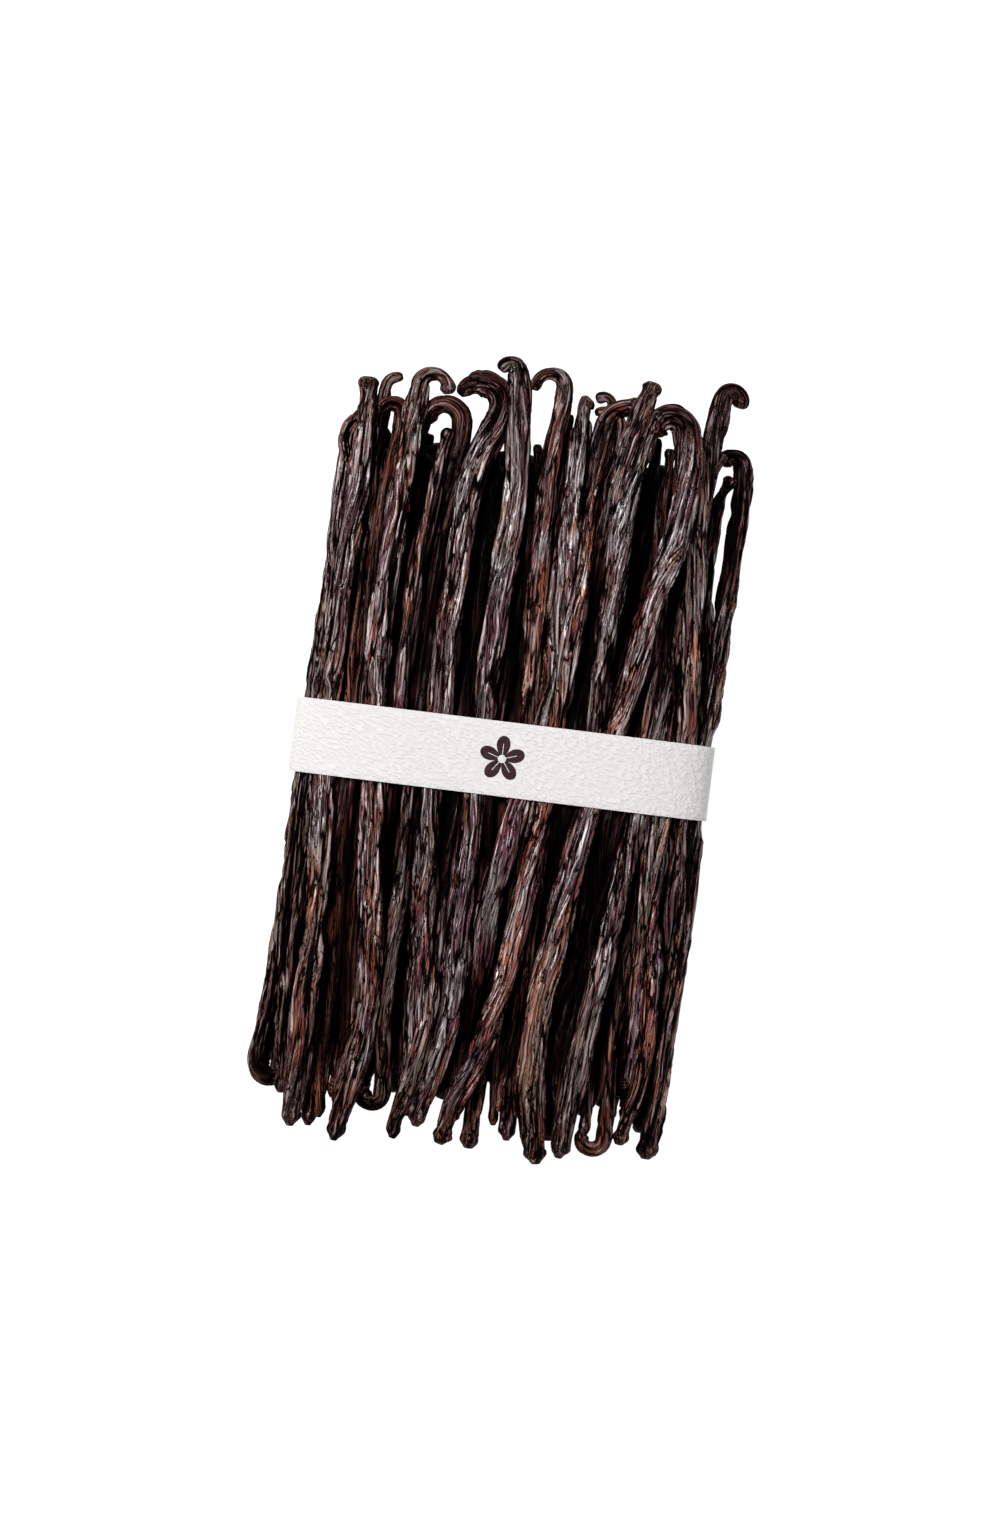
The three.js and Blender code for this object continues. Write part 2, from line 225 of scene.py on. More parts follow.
# Pods
podShape = {
    "wide": 5,
    "slimness": 0.95,  # room for the wrinkles, which stand out a little
    "long": 160,
    "neck": 0.5,  # width where a head's neck starts, over the full width
    "neckReach": 17,
    "tailNeck": 0.62,
    "tailReach": 13,
    "flare": 0.34,
    "headFlare": (1.1, 1.2),  # how far from its tip an end flares most, and over what length
    "tailFlare": (1.2, 1.3),
    "rounded": 1.5,  # length of the last stretch, which draws in
    "roundedLoss": 0.34,
    # inset and rise of each step of a cap, over the radius
    "dome": ((0.16, 0.34), (0.25, 0.24), (0.25, 0.04), (0.15, -0.16)),
    "endCrowding": 0.86,  # 0 spaces the rings evenly, 1 crowds them at the ends
    "tip": 1.4,  # straight length after a hook's arc
    "arcStep": 30,  # degrees of that arc between two points
}
podMeshes = {
    "main": {"sides": 18, "gaps": 52, "levels": 2},
    "slim": {"sides": 10, "gaps": 32, "levels": 2},
    "under": {"sides": 8, "gaps": 24, "levels": 2},
    "inner": {"sides": 8, "gaps": 14, "levels": 1},
}

# Pods that show from above: the upper layer from left to right, then the slim ones in its gaps.
# Columns: x at y = 60, 30, 0, -30 and -60, width, lift above the upper layer at those places,
# and skin (warm, moss, pale, plum). The second line is the head and the tail: x and y where the bend starts,
# its radius and its turn in degrees, to +X where positive. An end with only an x and a y has no bend.
# Where an end has a neck of its own, these follow: the share of the width that it keeps, its length and its
# knob's growth.
mainPods = [
    ((-40.4, -40.5, -41, -41.4, -42.8), 4.7, -0.8, (0.3, 0.35, 0.4, 0.7),
     (-41, 63, 5, 70, 0.55, 14, 0), (-43.3, -69.8, 2.8, 150, 0.6, 9, 0)),
    ((-37.2, -38, -37.2, -35.5, -34.9), 5.4, 0.5, (0.35, 0.15, 0.75, 0.3),
     (-37.7, 75.4, 0, 0, 0.56, 17, 0.12), (-35.1, -80.3, 0, 0, 0.6, 12, -0.1)),
    ((-27.6, -28.7, -26.8, -24.4, -22.3), 5.5, 0.5, (0.45, 0.1, 0.8, 0.6),
     (-26.8, 75.8, 3, 165, 0.42, 19, 0.1), (-25.3, -82, 0, 0, 0.58, 13, -0.15)),
    ((-13.2, -14.2, -14.1, -13.3, -10.9), 5.8, 0, (0.4, 0.1, 0.8, 0.35),
     (-9.2, 72.2, 4.6, -165, 0.42, 6, -0.1), (-10.6, -75)),
    ((-4.1, -4.8, -5.4, -4.7, -5.5), 5.7, 0.2, (0.2, 0.3, 0.8, 0.8),
     (-6.2, 81.4, 1.8, -140, 0.38, 11, 0.1), (-8.4, -77)),
    ((2.7, 3.1, 4.4, 4.3, 3.4), 4, (0, -0.3, -2, -4, -4), (0.7, 0.1, 0.4, 0.3),
     (3.9, 78.5, 3.2, -175, 0.5, 14, 0), (3, -80.5, 0, 0, 0.72, 9, 0.3)),
    ((8.3, 7.7, 6.1, 1.3, -0.8), 5.6, (-0.5, 0, 0.3, 0, -4.5), (0.25, 0.1, 1, 0.55),
     (8.2, 75.4, 1.6, 40, 0.46, 13, 0.15), (-3.8, -71)),
    ((11.9, 11.3, 10, 8, 2.8), 5.2, (-2, 0, -0.5, -0.3, 0.8), (0.75, 0.05, 0.75, 0.5),
     (13.3, 71.6, 5.5, 85, 0.72, 10, 0), (-2.9, -80)),
    ((19.8, 18.7, 18.8, 19.6, 18.3), 5.2, (0.6, 0, -3, -3.5, -4), (0.15, 0.4, 0.6, 0.35),
     (23.4, 74.5, 3, 15, 0.5, 14, 0), (19.3, -77)),
    ((31.7, 26.4, 21.2, 16.6, 13.4), 6.2, (1.4, 1.2, 1, 0.8, 0.6), (0.5, 0.1, 0.85, 0.45),
     (30.4, 72.6, 3.5, -165, 0.72, 10, 0), (17.1, -81.8, 0, 0, 0.56, 9, 0)),
    ((33.9, 36.7, 38.2, 38.6, 38.4), 5.2, (-0.5, 0, 0, -2.5, -3.5), (0.35, 0.3, 0.6, 0.4),
     (33.2, 70, 3, -60), (37, -71)),
    ((35.1, 32.8, 30, 27.6, 23.9), 5.1, (-2.5, -4.5, -2, 0, 0.3), (0.25, 0.45, 0.6, 0.3),
     (37.4, 81.7, 1.8, 185, 0.58, 14, 0), (22.1, -80, 0, 0, 0.7, 8, -0.2)),
    ((43.6, 42.7, 42.3, 42.2, 41.6), 4.5, 0, (0.4, 0.2, 0.5, 0.5),
     (43.2, 67.8, 2.1, -140, 0.6, 10, 0), (40.6, -78.5, 0, 0, 0.88, 8, -0.05)),
    ((38.9, 37.3, 36, 35.6, 37), 4.3, (-4, -4.5, -3, -0.3, 0), (0.6, 0.1, 0.45, 0.8),
     (40.8, 64), (34.6, -76)),
    ((17, 14.3, 13.5, 12.3, 11), 4.6, (0.4, -5, -5, -5, -4.5), (0.3, 0.2, 0.5, 0.7),
     (21.9, 81.2, 0, 0, 0.7, 12, 0), (10.7, -78)),
]
slimPods = [
    ((-34.4, -34.2, -33.4, -32.6, -31.8), 3.6, (-2.6, -4, -4.5, -4.5, -4), (0.7, 0.3, 0.4, 0.2),
     (-33.6, 75.2, 2.4, 70, 0.64, 10, -0.2), (-31.4, -80)),
    ((-30.6, -32, -31.2, -30.5, -29.3), 3.8, (-3, -4, -4.5, -4.5, -4), (0.8, 0.25, 0.35, 0.2),
     (-29.8, 69.5, 2.2, -150, 0.7, 9, -0.1), (-29.4, -78)),
    ((-20.6, -22.8, -22.9, -21.8, -21), 4.2, (-1.2, -1.5, -3, -5, -5), (0.5, 0.1, 0.7, 0.5),
     (-19.6, 66.5, 0, 0, 0.6, 12, 0), (-20.5, -72)),
    ((-17.4, -19.2, -18.5, -18, -17.8), 4.2, (-2.5, -3.5, -2.5, -1.5, -1.5), (0.35, 0.5, 0.4, 0.2),
     (-16.9, 69, 3.7, -175, 0.8, 8, -0.1), (-16.6, -73.2, 1.9, -170, 0.8, 8, 0)),
    ((-9.4, -8.6, -8.8, -9, -8.9), 4, (-4.5, -3.5, -3.5, -3, 0.8), (0.4, 0.55, 0.5, 0.2),
     (-9.5, 70), (-12.9, -80, 0, 0, 0.65, 10, 0.1)),
    ((0, -0.9, -1.6, -1.2, -1), 3.4, -3.5, (0.9, 0.05, 0.35, 0.3),
     (-0.5, 65.5), (-1.8, -76)),
    ((5.3, 5.3, 5.5, 6, 6.5), 3.2, -2.8, (0.3, 0.4, 0.35, 0.2),
     (5.6, 72.5), (7.4, -75)),
    ((15.3, 13, 10.5, 10.2, 9), 4, (-2.5, -3.5, -3, -2.2, -3), (0.8, 0.1, 0.4, 0.3),
     (16, 72, 3.2, -110), (8.2, -72)),
    ((15.5, 16, 15.5, 15.5, 16), 3.8, (-3, -4.5, -5, -5, -4), (0.3, 0.1, 0.35, 0.8),
     (14, 77, 1.6, -110, 0.5, 13, 0.2), (14.6, -76)),
    ((24, 23.4, 23, 23.5, 25.2), 4, (-4.5, -5, -5, -4.5, -2.5), (0.2, 0.3, 0.3, 0.3),
     (24.5, 70), (26.6, -75)),
    ((27, 29.6, 28, 24, 21.2), 4, (-3, -3.5, -4, -5, -4), (0.7, 0.05, 0.3, 0.4),
     (27.3, 68), (20.9, -75)),
    ((30.5, 31.5, 31.8, 31.2, 30.3), 4, (-5, -5, -4.5, -4, -2.5), (0.4, 0.2, 0.3, 0.4),
     (29.6, 71), (31, -77.2, 2.3, -175, 0.78, 9, -0.1)),
    ((36.3, 34.4, 32.9, 33.4, 34.1), 3.8, (-3, -5, -3, -0.8, -0.8), (0.35, 0.4, 0.5, 0.7),
     (38.3, 68.5), (34, -64)),
    ((-24.8, -25, -26, -27.3, -26), 3.8, (-4, -5, -5, -4, -3.5), (0.8, 0.05, 0.3, 0.5),
     (-24.6, 68), (-26.8, -73.5)),
    ((-38.8, -39.4, -39.3, -38.6, -39.2), 3.6, -2.8, (0.3, 0.5, 0.3, 0.2),
     (-38.6, 70), (-38.2, -74)),
    ((39.6, 39.6, 40, 40.3, 39.5), 3.8, -3.5, (0.3, 0.3, 0.3, 0.3),
     (38.9, 40), (38.5, -73)),
]


def waist(y):
    return math.exp(-((y / bundle["waistReach"]) ** 2))


def halfDeepAt(x, y):
    across = min(abs(x) / bundle["halfWide"], bundle["widest"])
    power = bundle["squareness"]
    deep = bundle["halfDeep"] - bundle["waistDip"] * waist(y)
    return deep * (1 - across ** power) ** (1 / power)


def levelAt(pod, x, y, lift):
    freeLift = lift * (1 - (1 - bundle["freeLiftAtBand"]) * waist(y))
    inset = pod["wide"] * bundle["podFlatness"] / 2
    return bundle["halfDeep"] + pod["side"] * (halfDeepAt(x, y) - inset + freeLift)


def endPoints(start, end, z):
    # a straight run, then the hook's arc and its tip
    x, y, radius, turn = (*end, 0, 0)[:4]
    angle = math.atan2(y - start[1], x - start[0])
    towards = math.copysign(1, turn) * math.copysign(1, y)
    steps = max(1, math.ceil(abs(turn) / podShape["arcStep"]))
    points = [(x, y, z)]
    swing = math.radians(abs(turn)) / steps
    chord = 2 * radius * math.sin(swing / 2)
    for _ in range(steps if turn else 0):
        angle -= towards * swing / 2
        x, y = x + math.cos(angle) * chord, y + math.sin(angle) * chord
        angle -= towards * swing / 2
        points.append((x, y, z))
    tip = podShape["tip"]
    points.append((x + math.cos(angle) * tip, y + math.sin(angle) * tip, z))
    return points


def podRoute(pod):
    # from the head's tip to the tail's tip, as the solid's centreline runs
    lifts = pod["lift"] if isinstance(pod["lift"], tuple) else (pod["lift"],) * 5
    stations = []
    for i, (x, lift) in enumerate(zip(pod["across"], lifts)):
        y = bundle["stationPitch"] * (2 - i)
        stations.append((x, y, levelAt(pod, x, y, lift)))
    if pod["head"][1] < 2 * bundle["stationPitch"] + 1:  # a short pod ends before the first station
        del stations[0]
    head = endPoints(stations[0], pod["head"], stations[0][2])
    tail = endPoints(stations[-1], pod["tail"], stations[-1][2])
    return head[::-1] + stations + tail


def podWidthShare(fromHead, fromTail):
    shape = podShape
    belly = blendOf(shape["neck"], 1, smoothStep(fromHead / shape["neckReach"]))
    belly *= blendOf(shape["tailNeck"], 1, smoothStep(fromTail / shape["tailReach"]))
    flare = 0
    for away, (place, reach) in ((fromHead, shape["headFlare"]), (fromTail, shape["tailFlare"])):
        flare += math.exp(-(((away - place) / reach) ** 2))
    rounding = max(0, 1 - min(fromHead, fromTail) / shape["rounded"])
    width = belly + shape["flare"] * flare * (1 - 0.5 * belly)
    return width * (1 - shape["roundedLoss"] * rounding ** 2)


def straightPod(name, sides, gaps, levels):
    # one pod modelled straight along X from its head, and kept to be copied
    shape = podShape
    radius = shape["wide"] / 2 * mm
    long = shape["long"] * mm
    deselectAll()
    bpy.ops.mesh.primitive_cylinder_add(
        vertices=sides, radius=radius, depth=long, location=(long / 2, 0, 0), rotation=(0, math.pi / 2, 0))
    pod = bpy.context.object
    pod.name = name
    bpy.ops.object.transform_apply(location=True, rotation=True, scale=True)
    setMode("EDIT")
    selectOnly(pod, "edges", lambda edge: abs(edge.verts[0].co.x - edge.verts[1].co.x) > radius)
    bpy.ops.mesh.subdivide(number_cuts=gaps - 1)
    nearRing = long / gaps / 5
    for k in range(gaps + 1):  # each ring gets its place and its width
        share = k / gaps
        place = long * (share - shape["endCrowding"] * math.sin(2 * math.pi * share) / (2 * math.pi))
        width = podWidthShare(place / mm, (long - place) / mm)
        selectMesh("DESELECT")
        cage = bmesh.from_edit_mesh(pod.data)
        for vertex in cage.verts:
            vertex.select = abs(vertex.co.x - long * share) < nearRing and not vertex.tag
            if vertex.select:
                vertex.tag = True
        cage.select_flush_mode()
        bmesh.update_edit_mesh(pod.data)
        bpy.ops.transform.resize(value=(1, width, width))
        bpy.ops.transform.translate(value=(place - long * share, 0, 0))
    for end in (0, 1):  # a rounded cap with a small dimple
        selectOnly(pod, "faces", lambda face: len(face.verts) == sides
                   and abs(face.calc_center_median().x - long * end) < mm)
        out = 1 if end else -1
        capWide = podWidthShare(0, shape["long"]) * radius
        for inset, rise in shape["dome"]:
            bpy.ops.mesh.inset(thickness=capWide * inset)
            bpy.ops.transform.translate(value=(out * capWide * rise, 0, 0))
        bpy.ops.mesh.poke()
    setMode("OBJECT")
    finishWith(pod, "SUBSURF", levels=levels, render_levels=levels)
    pod.hide_render = True
    return pod


wrinkles = {
    "twist": 0.024,  # radians of turn for each mm along, at most
    "slowTurn": 2.4,
    "warp": 2.6,
    "warpScale": (0.07, 0.3, 0.3),
    "lump": 1.7,
    "lumpScale": (0.06, 0.2, 0.2),
    "wander": 1.3,
    "wanderScale": 0.035,
    "furrow": 0.75,
    "ridge": 0.6,
    "crease": 0.32,
    "lift": 0.5,  # how far the skin between the folds stands out
    "calmReach": 4,  # the ends of a pod are smoother
    "calmLeast": 0.15,
}

# Folds of the skin in its own space: the noise's scale along and across, and how wide a fold opens
skinFolds = {
    "furrow": ((0.025, 0.27, 0.27), 0.1),
    "ridge": ((0.035, 0.55, 0.55), 0.12),
    "crease": ((0.042, 1.3, 1.3), 0.12),
}


def skinFold(kit, space, name, low=0.0, high=1.0):
    # 0 along the thin lines of a fold and 1 between them
    scale, wide = skinFolds[name]
    return kit.ramp(abs(kit.noise(space, scale, 1.0) - 0.5), wide * low, wide * high)


def wrinkleGroup():
    # the relief of a cured skin, on a straight pod: lengthwise furrows that wander and merge
    group = bpy.data.node_groups.new("wrinkledSkin", "GeometryNodeTree")
    group.interface.new_socket("Geometry", in_out="INPUT", socket_type="NodeSocketGeometry")
    for name in ("Seed", "Depth", "Twist", "Half"):
        group.interface.new_socket(name, in_out="INPUT", socket_type="NodeSocketFloat")
    group.interface.new_socket("Geometry", in_out="OUTPUT", socket_type="NodeSocketGeometry")
    kit = NodeKit(group)
    given = group.nodes.new("NodeGroupInput")
    seed, depth, twist, half = [Wire(kit, given.outputs[i]) for i in range(1, 5)]
    place = kit.scaled(kit.wire("GeometryNodeInputPosition"), 1 / mm)
    along, y, z = kit.split(place)
    reach = (y * y + z * z) ** 0.5
    seedPlace = kit.join(seed * 37, seed * 11, seed * 23)
    slow = kit.noise(kit.vectors("ADD", kit.join(along, 0.0, 0.0), seedPlace), (0.03, 1, 1), 1.0)
    angle = along * twist + (slow - 0.5) * wrinkles["slowTurn"]
    turned = kit.turned(place, "X_AXIS", angle)
    seeded = kit.vectors("ADD", turned, seedPlace)
    warp = kit.drift(kit.vectors("MULTIPLY", seeded, wrinkles["warpScale"]), 2.0)
    warp = kit.vectors("MULTIPLY", warp, (0.0, wrinkles["warp"], wrinkles["warp"]))
    skinSpace = kit.vectors("ADD", seeded, warp)
    height = (kit.noise(seeded, wrinkles["lumpScale"], 1.0) - 0.5) * wrinkles["lump"] + wrinkles["lift"]
    for name in skinFolds:
        height += (skinFold(kit, skinSpace, name) - 1) * wrinkles[name]
    outwards = kit.vectors("NORMALIZE", kit.join(0.0, y, z))
    size = kit.ramp(reach / half, 0.0, 0.85) * depth
    move = kit.scaled(outwards, height * size * mm)
    wander = wrinkles["wander"] * mm
    alongOnly = kit.join(along * wrinkles["wanderScale"], 0.0, 0.0)
    drift = kit.drift(kit.vectors("ADD", alongOnly, seedPlace), 1.0)
    drift = kit.vectors("MULTIPLY", drift, (0, wander, wander * 0.5))
    moved = kit.node("GeometryNodeSetPosition", None, {"Offset": kit.vectors("ADD", move, drift)})
    group.links.new(given.outputs[0], moved.inputs["Geometry"])
    # the skin's own coordinates are kept for its material
    stored = kit.node("GeometryNodeStoreNamedAttribute", {"data_type": "FLOAT_VECTOR", "domain": "POINT"},
                      {"Geometry": Wire(kit, moved.outputs[0]), "Name": "podSpace", "Value": skinSpace})
    out = group.nodes.new("NodeGroupOutput")
    group.links.new(stored.outputs[0], out.inputs[0])
    return group


def bendAlong(pod, points):
    # laid along its route with a Curve modifier
    route = bpy.data.curves.new("route", "CURVE")
    route.dimensions = "3D"
    route.twist_mode = "Z_UP"
    route.resolution_u = 8
    spline = route.splines.new("BEZIER")
    spline.bezier_points.add(len(points) - 1)
    for knot, (x, y, z) in zip(spline.bezier_points, points):
        knot.co = (x * mm, y * mm, z * mm)
        knot.handle_left_type = knot.handle_right_type = "AUTO"
    rail = bpy.data.objects.new("route", route)
    bpy.context.collection.objects.link(rail)
    bpy.context.view_layer.update()
    long = spline.calc_length()
    points = pointsOf(pod.data)
    points[:, 0] *= long / (podShape["long"] * mm)
    setPoints(pod.data, points)
    return rail


def eased(share):
    share = np.clip(share, 0, 1)
    return share * share * (3 - 2 * share)


def widening(away, neck, reach):
    # from a neck's share of the width to the whole of it
    return neck + (1 - neck) * eased(away / mm / reach)


ownEnds = {"knobLeast": -0.2, "knobSpread": 0.45, "knobReach": 2.2, "flatFrom": 20}


def endGrowth(pod, fromHead, fromTail, seed):
    # what a pod's own neck and knob change of the shared shape, at both ends
    shape = podShape
    grow = np.ones(len(fromHead))
    for away, bend, neck, reach, luck in (
            (fromHead, pod["head"], shape["neck"], shape["neckReach"], scatter(seed + 0.3)),
            (fromTail, pod["tail"], shape["tailNeck"], shape["tailReach"], scatter(seed + 0.6))):
        anyKnob = ownEnds["knobLeast"] + ownEnds["knobSpread"] * luck
        ownNeck, ownReach, knob = bend[4:] if len(bend) > 4 else (neck, reach, anyKnob)
        grow *= widening(away, ownNeck, ownReach) / widening(away, neck, reach)
        grow *= 1 + knob * np.exp(-((away / mm / ownEnds["knobReach"]) ** 2))
    return grow


def wrinklePod(piece, group, values):
    modifier = piece.modifiers.new("wrinkles", "NODES")
    modifier.node_group = group
    sockets = [item.identifier for item in group.interface.items_tree if item.in_out == "INPUT"][1:]
    for name, value in zip(sockets, values):
        modifier[name] = float(value)
    bpy.ops.object.modifier_apply(modifier="wrinkles")


def layPod(pod, masters, group, seed):
    # a copy of a straight pod, wrinkled and then bent along its own route
    master = masters[pod["kind"]]
    piece = master.copy()
    piece.data = master.data.copy()
    piece.hide_render = False
    bpy.context.collection.objects.link(piece)
    rail = bendAlong(piece, pod.get("route") or podRoute(pod))
    pick(piece)
    plain = pointsOf(piece.data)
    fromHead = plain[:, 0].copy()
    fromTail = fromHead.max() - fromHead
    nearest = np.minimum(fromHead, fromTail) / mm
    share = pod["wide"] / podShape["wide"] * podShape["slimness"]
    plain[:, 1:] *= (share * endGrowth(pod, fromHead, fromTail, seed))[:, None]
    setPoints(piece.data, plain)
    twist = wrinkles["twist"] * (scatter(seed) * 2 - 1)
    wrinklePod(piece, group, (seed, min(1, share + 0.1), twist, pod["wide"] / 2))
    calm = np.clip(nearest / wrinkles["calmReach"], wrinkles["calmLeast"], 1)[:, None]
    points = plain + (pointsOf(piece.data) - plain) * calm
    points[:, 2] *= 1 + (bundle["podFlatness"] - 1) * eased(nearest / ownEnds["flatFrom"])
    setPoints(piece.data, points)
    finishWith(piece, "CURVE", object=rail, deform_axis="POS_X")
    curve = rail.data
    bpy.data.objects.remove(rail)
    bpy.data.curves.remove(curve)
    return piece


podColumns = ("kind", "side", "across", "wide", "lift", "skin", "head", "tail")


def podOf(*row):
    return dict(zip(podColumns, row))


def upperPods():
    return [podOf("main", 1, *row) for row in mainPods] + [podOf("slim", 1, *row) for row in slimPods]


def anySkin(seed):
    return tuple(scatter(seed + k) for k in (0.1, 0.2, 0.3, 0.4))


underLayer = {
    "count": 14,
    "out": 38.5,
    "wide": 5,
    "drift": 2.4,
    "head": 60,
    "edge": 35,  # the pods beyond this x end sooner
    "edgeHead": 54,
    "gapHead": 42,
    "headSpread": 5,
    "hook": 2.2,
    "hookTurn": 320,
    "leastTurn": 60,
    "tail": -70,
    "tailSpread": 6,
}


def underPods():
    pods = []
    layer = underLayer
    for i in range(layer["count"]):
        luck = [scatter(i * 7 + k) for k in range(7)]
        x = blendOf(-layer["out"], layer["out"], i / (layer["count"] - 1))
        drift = [layer["drift"] * (share - 0.5) for share in luck[:5]]
        turn = (luck[5] - 0.5) * layer["hookTurn"]
        longest = layer["head"] if abs(x) < layer["edge"] else layer["edgeHead"]
        if x > layer["edge"]:  # a gap stays open beside the last pod on the right
            longest, turn = layer["gapHead"], 0
        turn = 0 if abs(turn) < layer["leastTurn"] else turn
        head = (x + drift[0], longest + layer["headSpread"] * luck[6], layer["hook"], turn)
        tail = (x + drift[4], layer["tail"] - layer["tailSpread"] * luck[4], 0, 0)
        across = tuple(x + share for share in drift)
        pods.append(podOf("under", -1, across, layer["wide"] + luck[2], 0, anySkin(i), head, tail))
    return pods


flankLayer = {
    "levels": (-7.5, -3.6, 0.4),
    "out": (3.2, 2.6, 3.2),  # how far inside the bundle's edge each of them runs
    "drawnIn": (2.2, 1.2, 0.3, 0.5, 1),  # and how much further at the five places along it
    "standOut": 2,
    "wide": 4.8,
    "head": 49.5,
    "headLean": 5,
    "rightSooner": 5,
    "headSpread": 4,
    "hook": 2.4,
    "hookTurn": 60,
    "tail": -70,
    "tailLean": 2,
    "tailSpread": 5,
}


def flankPods():
    pods = []
    layer = flankLayer
    for edge in (-1, 1):
        for i, (level, out) in enumerate(zip(layer["levels"], layer["out"])):
            luck = [scatter(50 + edge * 9 + i * 5 + k) for k in range(8)]
            x = edge * (bundle["halfWide"] - out)
            across = tuple(x - edge * (share + drawn) for share, drawn in zip(luck, layer["drawnIn"]))
            headEnd = layer["head"] - edge * layer["rightSooner"] + layer["headSpread"] * luck[6]
            head = (x - edge * layer["headLean"], headEnd, layer["hook"], -layer["hookTurn"] * edge)
            tail = (x - edge * layer["tailLean"], layer["tail"] - layer["tailSpread"] * luck[7], 0, 0)
            lift = level - halfDeepAt(x, bundle["stationPitch"]) + layer["standOut"]
            skin = anySkin(50 + edge * 9 + i * 5)
            pods.append(podOf("under", 1, across, layer["wide"], lift, skin, head, tail))
    return pods


# How the band grips: its hold fades from where it starts to give, over a short stretch
grip = {"sideRoom": -0.05, "faceRoom": 0.22, "from": 8.2, "fade": 7, "give": 3, "reach": 15.2}


def press(points):
    # under the band the pods are squeezed into it, and the lowest are pressed flat on the table
    halfWide = (bundle["halfWide"] + grip["sideRoom"]) * mm
    halfDeep = (bundle["halfDeep"] - bundle["waistDip"] + grip["faceRoom"]) * mm
    middle = bundle["halfDeep"] * mm
    power = bundle["squareness"]
    x, y, z = points[:, 0], points[:, 1], points[:, 2] - middle
    away = np.abs(y) / mm
    free = np.clip((away - grip["from"]) / grip["fade"], 0, 1) ** 2 * grip["give"] * mm
    reach = (np.abs(x / (halfWide + free)) ** power + np.abs(z / (halfDeep + free)) ** power) ** (1 / power)
    squeeze = np.where(away < grip["reach"], 1 / np.maximum(reach, 1), 1)
    points[:, 0] = x * squeeze
    points[:, 2] = z * squeeze + middle
    floor = bundle["floorSink"] * mm
    points[:, 2] = np.maximum(points[:, 2], floor)
    return points


# The export keeps a map of this name. Each pod has a cell of it, and these are shares of a cell.
bakeMap = "OFBake"
mapCell = {
    "margin": 0.03,
    "capInset": 0.02,
    "capWide": 0.9,
    "capTall": 0.1,
    "sideLow": 0.06,
    "sideTall": 0.93,
}


def layOutMap(piece, cell, cells):
    # the cylinder's own map, moved into one cell of the piece's sheet: the sides above, the caps below
    columns = math.ceil(math.sqrt(cells * 3))
    rows = math.ceil(cells / columns)
    layer = piece.data.uv_layers.active
    layer.name = bakeMap
    places = np.empty(len(layer.data) * 2)
    layer.data.foreach_get("uv", places)
    u, v = places[0::2], places[1::2]
    onSide = v > 0.4999
    u = np.where(onSide, u, mapCell["capInset"] + u * mapCell["capWide"])
    v = np.where(onSide, mapCell["sideLow"] + (v * 2 - 1) * mapCell["sideTall"], v * mapCell["capTall"])
    margin = mapCell["margin"]
    places[0::2] = (cell % columns + margin + u * (1 - 2 * margin)) / columns
    places[1::2] = (cell // columns + margin / 3 + v * (1 - margin)) / rows
    layer.data.foreach_set("uv", places)


paleHalf = {"tails": 0.65, "heads": 1.4, "over": 60}  # shares of the pale tone, and how gently they change


def addSkinTone(piece, skin):
    # warm, moss and pale shares of the pod, and plum in a fourth; the half with the heads is paler
    tones = np.tile(skin, (len(piece.data.vertices), 1)).astype(float)
    towardsHead = np.clip(pointsOf(piece.data)[:, 1] / mm / paleHalf["over"] + 0.5, 0, 1)
    tones[:, 2] *= blendOf(paleHalf["tails"], paleHalf["heads"], towardsHead)
    tone = piece.data.attributes.new("skinTone", "FLOAT_COLOR", "POINT")
    tone.data.foreach_set("color", tones.ravel())


# Stains that the pods carry: x, y, half width, half length, and orange or moss strength
stains = [
    (-34.9, 42, 1.2, 6, 1, 0),
    (-35, 29, 1.2, 8, 0.9, 0),
    (-34.9, 15, 1.2, 6, 1, 0),
    (-30.5, 64, 1.4, 7, 0.7, 0),
    (-8, 16, 1, 5, 0.7, 0),
    (37.5, 28, 1.2, 3.5, 1, 0),
    (25, 48, 1.2, 14, 0.6, 0),
    (-36.5, -34, 1.8, 7, 0.8, 0),
    (-29.5, -14, 1, 6, 0.8, 0),
    (-25.8, -62, 1.4, 7, 0.7, 0),
    (38, -60, 1.6, 7, 0.9, 0),
    (30, -60, 1, 5, 1, 0),
    (13, -50, 1.4, 8, 0.6, 0),
    (16, -70, 1.6, 5, 0, 1),
    (-41.5, -30, 2, 12, 0, 0.8),
    (-5.5, 66, 2.4, 10, 0, 0.9),
    (-13, 75, 3.5, 5, 0, 1),
    (-18, -45, 2, 14, 0, 0.8),
    (-15.5, -66, 2, 9, 0, 0.8),
    (29, 72, 3, 5, 0, 0.6),
]


def addStains(piece):
    points = pointsOf(piece.data) / mm
    orange = np.zeros(len(points))
    moss = np.zeros(len(points))
    for x, y, halfWide, halfLong, warm, green in stains:
        away = ((points[:, 0] - x) / halfWide) ** 2 + ((points[:, 1] - y) / halfLong) ** 2
        weight = np.exp(-away) * (points[:, 2] > bundle["halfDeep"])
        orange = np.maximum(orange, weight * warm)
        moss = np.maximum(moss, weight * green)
    for name, values in (("orangeStain", orange), ("mossStain", moss)):
        layer = piece.data.attributes.new(name, "FLOAT", "POINT")
        layer.data.foreach_set("value", values)


# Painted shade between and under the pods: how deep in the bundle's section the painted dark begins, 1 being
# its outside and 0 its middle, and how far a face must look outwards to be clear of it
paintedShade = {
    "dark": 0.7,
    "clear": 0.98,
    "aside": 0.22,
    "out": 0.97,
    "endsFrom": 58,  # nearer the ends the light comes in from there too
    "endsFade": 17,
    "endShade": 0.55,
    "endLeast": 0.4,
}


